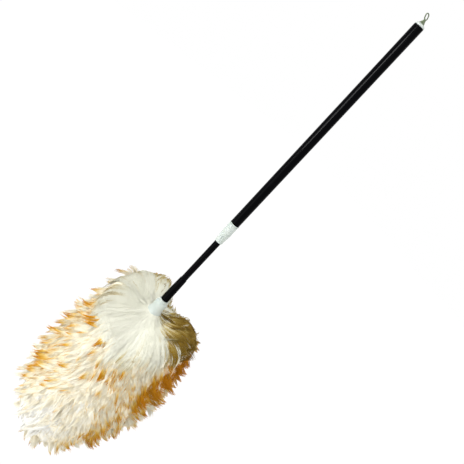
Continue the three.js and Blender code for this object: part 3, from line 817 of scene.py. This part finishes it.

# %% [markdown]
# The tips are browner in some places than in others, as on the fleece that the strip was cut from. A tuft's
# tone says how far the brown reaches down from its tip. It comes from slow waves over the head, a few patches
# and a little chance. It fades towards the tip of the head, which is nearly white but for a golden fringe.
# The olive patches on the cape and the rim are partly brown wool and partly painted shade, for the right and
# far side, which turn from the light.

# %% Tones
MOST_TONE = 2.4
LEAST_TONE = 0.03
PLAIN_TONE = 0.36
NEAR_PALE = 0.18  # how much paler the side towards the camera is
NEAR_HALF = 0.6
FADE = 0.9
FADE_DEPTH = 0.20
FADE_RUN = 0.1
FRINGE_TONE = 0.55
FRINGE_DEPTH = 0.325
FRINGE_RUN = 0.025
PATCH_RADIUS = 0.11  # makes a turn about the pole a way round the head
BROWN_PATCHES = (  # depth below the collar, turn about the pole in degrees, size, strength
    (0.010, 242, 0.030, 0.65), (0.055, 255, 0.030, 0.65), (0.119, 248, 0.030, 0.60),
    (0.190, 262, 0.032, 0.50), (0.245, 268, 0.030, 0.40), (0.053, 272, 0.018, 1.30),
    (0.065, 298, 0.020, 1.10), (0.100, 320, 0.018, 1.00), (0.030, 342, 0.030, 0.35),
    (0.025, 28, 0.035, 0.90), (0.062, 23, 0.032, 1.50), (0.102, 12, 0.034, 1.30),
    (0.155, 358, 0.035, 0.50), (0.205, 357, 0.032, 0.80), (0.250, 6, 0.032, 0.75),
    (0.290, 348, 0.034, 0.50), (0.050, 62, 0.050, 1.40), (0.080, 110, 0.060, 1.00),
    (0.040, 170, 0.060, 0.45), (0.150, 90, 0.060, 0.40), (0.220, 190, 0.060, 0.30))
# olive patches on the cape and the rim: partly brown wool, partly painted shade on the right and far side
OLIVE_AND_SHADE_PATCHES = (
    (0.010, 45, 0.045, 1.10), (0.050, 62, 0.050, 0.80), (0.040, 82, 0.050, 1.20),
    (0.080, 110, 0.060, 0.50), (0.000, 160, 0.045, 0.50), (0.040, 25, 0.035, 1.20))


def tuft_tones(tufts, patches, chance, added_tone):
    """How brown the tufts are, by the patches that they grow in and by chance. Olive patches are partly
    painted shade.
    """
    along, turn, way, _, proud, _ = tufts
    tips = on_skin(along + way, turn, proud)
    depth = collar_low.z - tips[:, 2]
    tone = PLAIN_TONE + chance * rng.uniform(0, 1, len(turn)) ** 3
    tone = tone + 0.10 * np.sin(2 * turn + 25 * depth) + 0.08 * np.sin(5 * turn - 40 * depth + 1)
    tone = tone - NEAR_PALE * near_turn(turn, CAMERA_TURN, NEAR_HALF)
    tone = tone * (1 - FADE * np.clip((depth - FADE_DEPTH) / FADE_RUN, 0, 1))
    tone = tone + added_tone + rng.normal(0, 0.05, len(tone))
    tone = tone + FRINGE_TONE * np.clip((depth - FRINGE_DEPTH) / FRINGE_RUN, 0, 1)
    for patch_depth, patch_turn, size, strength in patches:
        swerve = turn_between(turn, math.radians(patch_turn))
        distance = np.hypot(depth - patch_depth, PATCH_RADIUS * swerve)
        tone = tone + strength * np.exp(-(distance / size) ** 2)
    return np.clip(tone, LEAST_TONE, MOST_TONE)


print(len(BROWN_PATCHES), "brown patches and", len(OLIVE_AND_SHADE_PATCHES), "olive ones")

# %% [markdown]
# Every tuft holds several locks and every lock a bundle of strands. They start apart and run together towards
# the tip, so locks end in points. Strands end at different places, which keeps the points soft.

# %% Strands
CAPE_STATIONS = np.array([0, 0.30, 0.58, 0.82, 1.0])
BODY_STATIONS = np.array([0, 0.42, 0.76, 1.0])
LOCK_WAY = (0.85, 1.12)  # least and most of the tuft's way
STRAND_REACH = (0.62, 1.0)
LEAST_RING = 0.03  # nearer the pole a swing turns as at this radius


def spread(count, size):
    """Random places in a disc, across and along."""
    angle = rng.uniform(0, 2 * np.pi, count)
    reach = size * np.sqrt(rng.uniform(0, 1, count))
    return reach * np.cos(angle), reach * np.sin(angle)


def grow_strands(tufts, stations, locks, strands, lock_spread, strand_spread, tuft_gather, rough,
                 patches=BROWN_PATCHES, chance=0.42, added_tone=0, streaky=0.12):
    """Centre lines, facings of the skin, shares of the way along and tones of the strands of some tufts."""
    tones = tuft_tones(tufts, patches, chance, added_tone)
    of_tuft = np.repeat(np.arange(tufts.shape[1]), locks)
    lock_across, lock_along = spread(len(of_tuft), lock_spread)
    lock_lift = rng.normal(0, rough, len(of_tuft))
    lock_way = rng.uniform(*LOCK_WAY, len(of_tuft))
    lock_tone = tones[of_tuft] * rng.normal(1, streaky, len(of_tuft)) + rng.normal(0, 0.05, len(of_tuft))
    of_lock = np.repeat(np.arange(len(of_tuft)), strands)
    across, beside = spread(len(of_lock), strand_spread)
    reach = rng.uniform(*STRAND_REACH, len(of_lock))[:, None]
    tone = np.clip((lock_tone[of_lock] + rng.normal(0, 0.03, len(of_lock))) / MOST_TONE, 0.01, 0.98)
    along, turn, way, deep, proud, swing = (row[of_tuft][of_lock][:, None] for row in tufts)
    t = reach * stations
    gather = t * t * (3 - 2 * t)
    apart = 1 - tuft_gather * gather
    run = along + way * lock_way[of_lock][:, None] * t ** 1.15
    run = run + lock_along[of_lock][:, None] * apart + beside[:, None] * (1 - 0.8 * gather)
    aside = lock_across[of_lock][:, None] * apart + across[:, None] * (1 - 0.85 * gather) + swing * t * t
    lift = deep + (proud - deep + lock_lift[of_lock][:, None]) * t
    lift = lift + rng.normal(0, rough / 3, len(of_lock))[:, None] * (0.3 + t)
    ring = np.maximum(np.interp(along + 0.6 * way, skin_along, skin[:, 0]), LEAST_RING)
    turn = turn + aside / ring
    return on_skin(run, turn, lift), skin_facing(run, turn), t, tone


cape = grow_strands(cape_tufts, CAPE_STATIONS, locks=8, strands=15, lock_spread=0.015, strand_spread=0.006,
                    tuft_gather=0.30, rough=0.0003, patches=OLIVE_AND_SHADE_PATCHES, chance=0.15, streaky=0.25)
body = grow_strands(body_tufts, BODY_STATIONS, locks=4, strands=8, lock_spread=0.010, strand_spread=0.0042,
                    tuft_gather=0.5, rough=0.0018)
loose = grow_strands(body_tufts, BODY_STATIONS, locks=6, strands=4, lock_spread=0.014, strand_spread=0.010,
                     tuft_gather=0.1, rough=0.0014, chance=0.55)
spikes = grow_strands(spike_tufts, BODY_STATIONS, locks=4, strands=15, lock_spread=0.008,
                      strand_spread=0.0040, tuft_gather=0.75, rough=0.0010, added_tone=0.14)
# the rim wears the cape's finish and the olive patches, so its dark olive is partly painted shade
rim = grow_strands(rim_tufts, BODY_STATIONS, locks=5, strands=8, lock_spread=0.011, strand_spread=0.0050,
                   tuft_gather=0.7, rough=0.0015, patches=OLIVE_AND_SHADE_PATCHES, chance=0.15, added_tone=0.40,
                   streaky=0.25)
print("strands:", *(len(group[3]) for group in (cape, body, loose, spikes, rim)))

# %% [markdown]
# A strand is a closed, three-sided rod that tapers to a point, with its flat side to the outside. A curve
# with a bevel would do for one, but not for a hundred thousand, so corners and faces are filled in as arrays.
# Real fibres are far finer and shade as a mass, so most of a strand's shading comes from the way the skin
# faces. Its UV map holds the share of the way along and the tone, for the finish to read.

# %% Strand meshes
STRAND_WIDTH = 0.0008
STRAND_THICK = 0.0003
STRAND_TAPER = ((0, 0.85), (0.3, 1.0), (0.6, 0.85), (0.85, 0.5), (1.0, 0))
STRAND_ROLL = 0.2
SKIN_SHADE = 0.90  # the skin's share of the shading
CORNER_OUT = np.array([0.5, -0.5, 0.5]) * STRAND_THICK
CORNER_SIDE = np.array([0.5, 0, -0.5]) * STRAND_WIDTH
CORNER_FACING = np.array([1, -1, 1])
CORNER_LEAN = np.array([0.6, 0, -0.6])
UV_ACROSS = 0.004  # these two keep the faces from being flat in the UV map
UV_ROOT = 0.01


def strand_faces(stations):
    """The faces of one strand: three sides from ring to ring, a point, and a lid at the root."""
    tip = 3 * (stations - 1)
    sides = [(3 * k + j, 3 * k + (j + 1) % 3, 3 * k + 3 + (j + 1) % 3, 3 * k + 3 + j)
             for k in range(stations - 2) for j in range(3)]
    point = [(tip - 3 + j, tip - 3 + (j + 1) % 3, tip) for j in range(3)]
    return sides + point + [(0, 2, 1)]


def strand_corners(centres, facings, shares):
    """The corners of some strands, and the way that each of them faces."""
    count, stations, _ = centres.shape
    ahead = unit(np.gradient(centres, axis=1))
    around = np.stack([-centres[..., 1], centres[..., 0], np.zeros((count, stations))], axis=-1)
    out = unit(np.cross(ahead, around))
    roll = rng.normal(0, STRAND_ROLL, count)[:, None, None]
    out = np.cos(roll) * out + np.sin(roll) * np.cross(ahead, out)
    side = np.cross(ahead, out)
    taper = np.interp(shares / shares[:, -1:], *zip(*STRAND_TAPER))[..., None, None]
    size = rng.uniform(0.7, 1.3, count)[:, None, None, None] * taper
    section = CORNER_OUT[:, None] * out[:, :, None] + CORNER_SIDE[:, None] * side[:, :, None]
    rings = (centres[:, :, None] + size * section)[:, :-1].reshape(count, -1, 3)
    soft = unit(SKIN_SHADE * facings + (1 - SKIN_SHADE) * out)
    facing = CORNER_FACING[:, None] * soft[:, :-1, None] + CORNER_LEAN[:, None] * side[:, :-1, None]
    facing = np.concatenate([facing.reshape(count, -1, 3), soft[:, -1:]], axis=1)
    return np.concatenate([rings, centres[:, -1:]], axis=1), unit(facing)


def strand_mesh(name, centres, facings, shares, tones):
    """One mesh of closed, three-sided strands, each running out to a point."""
    count, stations, _ = centres.shape
    corners, facing = strand_corners(centres, facings, shares)
    faces = strand_faces(stations)
    loops = np.array([corner for face in faces for corner in face])
    sizes = np.tile([len(face) for face in faces], count)
    indices = loops + np.arange(count)[:, None] * corners.shape[1]
    mesh = bpy.data.meshes.new(name)
    mesh.vertices.add(corners.shape[0] * corners.shape[1])
    mesh.vertices.foreach_set("co", corners.astype(np.float32).ravel())
    mesh.loops.add(indices.size)
    mesh.loops.foreach_set("vertex_index", indices.astype(np.int32).ravel())
    mesh.polygons.add(len(sizes))
    mesh.polygons.foreach_set("loop_start", (np.cumsum(sizes) - sizes).astype(np.int32))
    mesh.polygons.foreach_set("use_smooth", np.ones(len(sizes), bool))
    along = np.concatenate([np.repeat(shares[:, :-1], 3, axis=1), shares[:, -1:]], axis=1)[:, loops]
    along[:, -1] += UV_ROOT
    across = np.concatenate([np.tile(np.arange(3), stations - 1), [1]])[loops] * UV_ACROSS
    uv = np.stack([along, tones[:, None] + across], axis=-1)
    mesh.uv_layers.new(name="OFBake").data.foreach_set("uv", uv.astype(np.float32).ravel())
    mesh.update()
    mesh.validate()
    mesh.normals_split_custom_set_from_vertices(facing.reshape(-1, 3).tolist())
    return mesh


# %% [markdown]
# The wool's colour follows each strand: straw at the root, cream along its length, and from some way up
# golden brown that darkens with the tone. On the body the straw roots are also warmed as painted light, for
# the light that passes through the wool into the shade deep in the pile. A noise could not know where a lock
# ends, so the finish reads the strands' own UV map and nothing else. The cape's wool is less yellow and
# darker than the body's, painted shade that offsets the stronger light on the cape, and its brown is a dark
# olive that is partly painted shade on the right and far side.

# %% Wool finish
GOLDEN = (0.95, 0.65, 0.42)  # where it starts on a strand of no tone, what the tone takes off that, its run
BROWN = (1.05, 0.50, 0.28)
WHITE_TONE = (0.30, 0.20)  # wool below this tone is white, its run
# above this tone the tips take the darkest colour, which on the cape is painted shade
DARK_TONE = (1.90, 0.35)
STRAW_RUN = 0.7


def lambswool(name, straw, cream, white, gold, umber, dark):
    material, start = new_material(name)
    coordinates = start.node("UVMap", {"uv_map": "OFBake"})
    along = start.node("SeparateXYZ", {}, {"Vector": coordinates}, output="X")
    tone = along.other("Y") * MOST_TONE
    golden, brown = ((along - (place - tone * less)).step(0, run) for place, less, run in (GOLDEN, BROWN))
    plain = along.step(0, STRAW_RUN).blend(straw, cream)
    pale = (WHITE_TONE[0] - tone).step(0, WHITE_TONE[1]).blend(plain, white)
    tip = (tone - DARK_TONE[0]).step(0, DARK_TONE[1]).blend(umber, dark)
    colour = brown.blend(golden.blend(pale, gold), tip)
    return coated(material, {
        "Base Color": colour, "Roughness": 0.9 - along * 0.15, "Specular IOR Level": 0.1})


# the cape's colours are the body's wool painted darker as shade, and its gold, umber and darkest olive are
# partly painted shade
cape_wool_and_shade = lambswool("cape_wool_and_shade", rgb(0.86, 0.86, 0.73), rgb(0.86, 0.855, 0.725), rgb(0.85, 0.845, 0.72),
                      rgb(0.58, 0.45, 0.13), rgb(0.31, 0.19, 0.025), rgb(0.19, 0.11, 0.014))
# the body's golden straw roots are partly painted light, warming the shade deep in the pile
body_wool = lambswool("body_wool", rgb(0.93, 0.83, 0.59), rgb(0.94, 0.89, 0.73), rgb(0.98, 0.97, 0.91),
                      rgb(0.82, 0.55, 0.10), rgb(0.58, 0.24, 0.005), rgb(0.55, 0.20, 0.003))

# %% [markdown]
# Under the locks lies the undercoat: the dense lower part of the pile, into which no one can see. One closed
# surface does for it, a little below the skin, with ridges that run the way the wool does. It keeps the gaps
# between the locks pale and saves the many strands that would only fill the inside. Its warm golden cream is
# partly the wool's own and partly painted light, for the light that passes through the wool into the gaps.

# %% Undercoat
COAT_ROWS = 120
COAT_SIDES = 264
COAT_DEPTH = 0.0030
CAPE_COAT_DEPTH = 0.0008
COAT_END = 0.004
COAT_BODY = (0.100, 0.03)  # where the body's depth begins, its run
COAT_FADE = (0.05, 0.1)  # over which the ridges die out towards the collar and the tip
COAT_TIP_ZONE = 0.002
COAT_RIDGE = 0.0016
RIDGES = ((41, 9, 0, 1), (67, -31, 1, 1), (103, 17, 2, 0.8))  # waves round and along, phase, size


def coat_places():
    """Rows of places round the undercoat, with ridges along the wool."""
    along = np.linspace(0, skin_end - COAT_END, COAT_ROWS)[:, None]
    turn = np.arange(COAT_SIDES)[None, :] * 2 * np.pi / COAT_SIDES
    in_body = np.clip((along - COAT_BODY[0]) / COAT_BODY[1], 0, 1)
    depth = CAPE_COAT_DEPTH + (COAT_DEPTH - CAPE_COAT_DEPTH) * in_body
    bent = turn + 0.10 * np.sin(3 * turn + 40 * along) * in_body
    ridges = sum(size * np.sin(waves * bent + drift * along + phase) for waves, drift, phase, size in RIDGES)
    fade = np.minimum(along / COAT_FADE[0], 1) * np.minimum((skin_end - along) / COAT_FADE[1], 1)
    lift = -depth + COAT_RIDGE / 3 * ridges * fade * (0.4 + 0.6 * in_body)
    return on_skin(along + 0 * turn, turn + 0 * along, lift, COAT_TIP_ZONE)


def coat_mesh(rows):
    """A closed mesh of rows of places round the pole."""
    count, sides, _ = rows.shape
    ends = [rows[0].mean(axis=0), rows[-1].mean(axis=0)]
    corners = np.vstack([rows.reshape(-1, 3), ends]).tolist()
    first, last = count * sides, count * sides + 1
    faces = [(row + k, row + sides + k, row + sides + (k + 1) % sides, row + (k + 1) % sides)
             for row in range(0, first - sides, sides) for k in range(sides)]
    faces += [(first, k, (k + 1) % sides) for k in range(sides)]
    foot = first - sides
    faces += [(last, foot + (k + 1) % sides, foot + k) for k in range(sides)]
    mesh = bpy.data.meshes.new("wool_undercoat")
    mesh.from_pydata(corners, [], faces)
    return mesh


def undercoat_finish():
    material, start = new_material("undercoat_wool")
    place = start.node("TexCoord", output="Object")
    fibre = place.noise((160, 160, 28), 5)
    cloud = place.noise(24, 3)
    # warm golden cream, partly painted light that passes through the wool into the shaded gaps
    pale = fibre.step(0.35, 0.65).blend(rgb(0.95, 0.87, 0.66), rgb(0.97, 0.93, 0.79))
    colour = (cloud.step(0.5, 0.72) * 0.5).blend(pale, rgb(0.86, 0.66, 0.34))
    relief = start.node("Bump", {}, {"Height": fibre, "Strength": 0.3, "Distance": 0.001})
    return coated(material, {
        "Base Color": colour, "Roughness": 0.85 + fibre * 0.1, "Normal": relief, "Specular IOR Level": 0.1})


coat = bpy.data.objects.new("wool_undercoat", coat_mesh(coat_places()))
bpy.context.scene.collection.objects.link(coat)
place_piece(coat, "wool_undercoat", "inner_pole", "wool_pile", undercoat_finish())

# %% [markdown]
# The strands are shared out among several pieces, from the collar down, so that no mesh has more than two
# hundred thousand triangles. All of them stand for the one wool solid of the frame and ride with the thin
# tube.

# %% Wool pieces
STRANDS_A_PIECE = 6800


def wool_pieces(name, strands, finish):
    count = len(strands[0])
    for number, part in enumerate(np.array_split(np.arange(count), math.ceil(count / STRANDS_A_PIECE)), 1):
        piece_name = f"{name}_{number}"
        mesh = strand_mesh(piece_name, *(values[part] for values in strands))
        piece = bpy.data.objects.new(piece_name, mesh)
        bpy.context.scene.collection.objects.link(piece)
        piece.data.materials.append(finish)
        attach(piece, "inner_pole")
        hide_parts("wool_pile")
        print(piece_name, "has", len(part), "strands and", len(piece.data.polygons), "faces")


wool_pieces("wool_cape", cape, cape_wool_and_shade)
wool_pieces("wool_body", body, body_wool)
wool_pieces("wool_loose", loose, body_wool)
wool_pieces("wool_spikes", spikes, body_wool)
wool_pieces("wool_rim", rim, cape_wool_and_shade)

# %% [markdown]
# The pieces inside the pole and the head come from the CAD model as they are, and only need a finish: plain
# plastic for the lock, plated wire, a raw wooden dowel, and the tanned side of the hide.


# %% Inner pieces
def grained(name, light, dark, stretch, rough, metallic=0):
    """A finish of two colours in streaks along the pole."""
    material, start = new_material(name)
    streaks = start.node("TexCoord", output="Object").noise(stretch, 4)
    return coated(material, {
        "Base Color": streaks.step(0.35, 0.65).blend(light, dark), "Roughness": streaks * 0.2 + rough,
        "Metallic": metallic})


steel = grained("plated_steel", rgb(0.58, 0.59, 0.60), rgb(0.48, 0.49, 0.51), (300, 300, 300), 0.2, 1)
dowel = grained("raw_dowel", rgb(0.62, 0.44, 0.25), rgb(0.46, 0.30, 0.15), (400, 400, 18), 0.5)
hide = grained("tanned_hide", rgb(0.70, 0.58, 0.42), rgb(0.60, 0.47, 0.31), (180, 180, 180), 0.6)
inner_finishes = {"drag_washer": lock_white, "cam_plug": lock_white, "lock_ring": lock_white,
                  "lock_screw": steel, "head_rod": dowel, "pelt_strip": hide}
inner_finishes.update({name: steel for name in nodes if name.startswith("strip_staple")})
for name, finish in inner_finishes.items():
    nodes[name].material_slots[0].material = finish
print("finished", list(inner_finishes))
